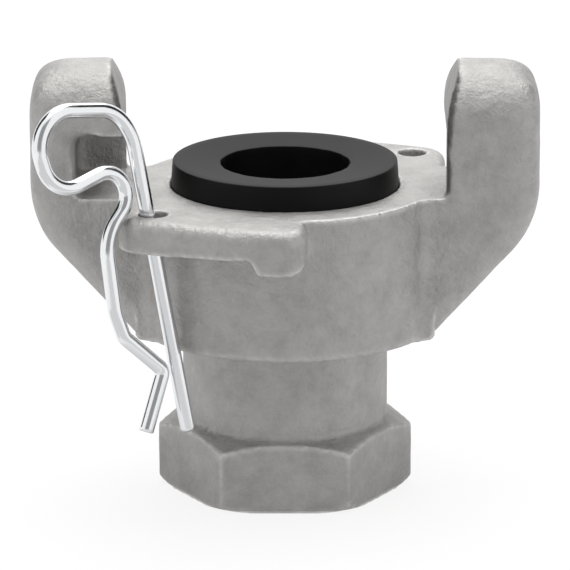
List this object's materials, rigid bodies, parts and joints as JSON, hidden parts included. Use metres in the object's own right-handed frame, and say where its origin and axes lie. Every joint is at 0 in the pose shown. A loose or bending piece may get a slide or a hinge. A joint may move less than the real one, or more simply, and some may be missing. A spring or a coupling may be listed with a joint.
{
  "type": "claw hose coupling",
  "caption": "Quick-connect air hose coupling head with two hooked claws, cam ramps, a face gasket, a female threaded hexagon end and a wire safety clip.",
  "frame": {"origin": "on the bore axis, at the bottom of the hexagon end", "axes": "+Z along the bore towards the claws, +X through the claw whose slot opens towards +Y"},
  "size_m": [0.0754, 0.0582, 0.0648],
  "materials": {
    "cast_stainless": "bead-blasted casting",
    "gasket_rubber": "moulded matt rubber",
    "zinc_wire": "bright zinc plating on drawn wire"
  },
  "bodies": {
    "coupling": {"coupling_body": "cast_stainless", "face_gasket": "gasket_rubber"},
    "clip": {"safety_clip": "zinc_wire"}
  },
  "joints": [
    {"name": "clip_slide", "type": "slide", "parent": "coupling", "child": "clip", "axis": [-0.1736, 0, 0.9848], "range_m": [0, 0.013]}
  ]
}
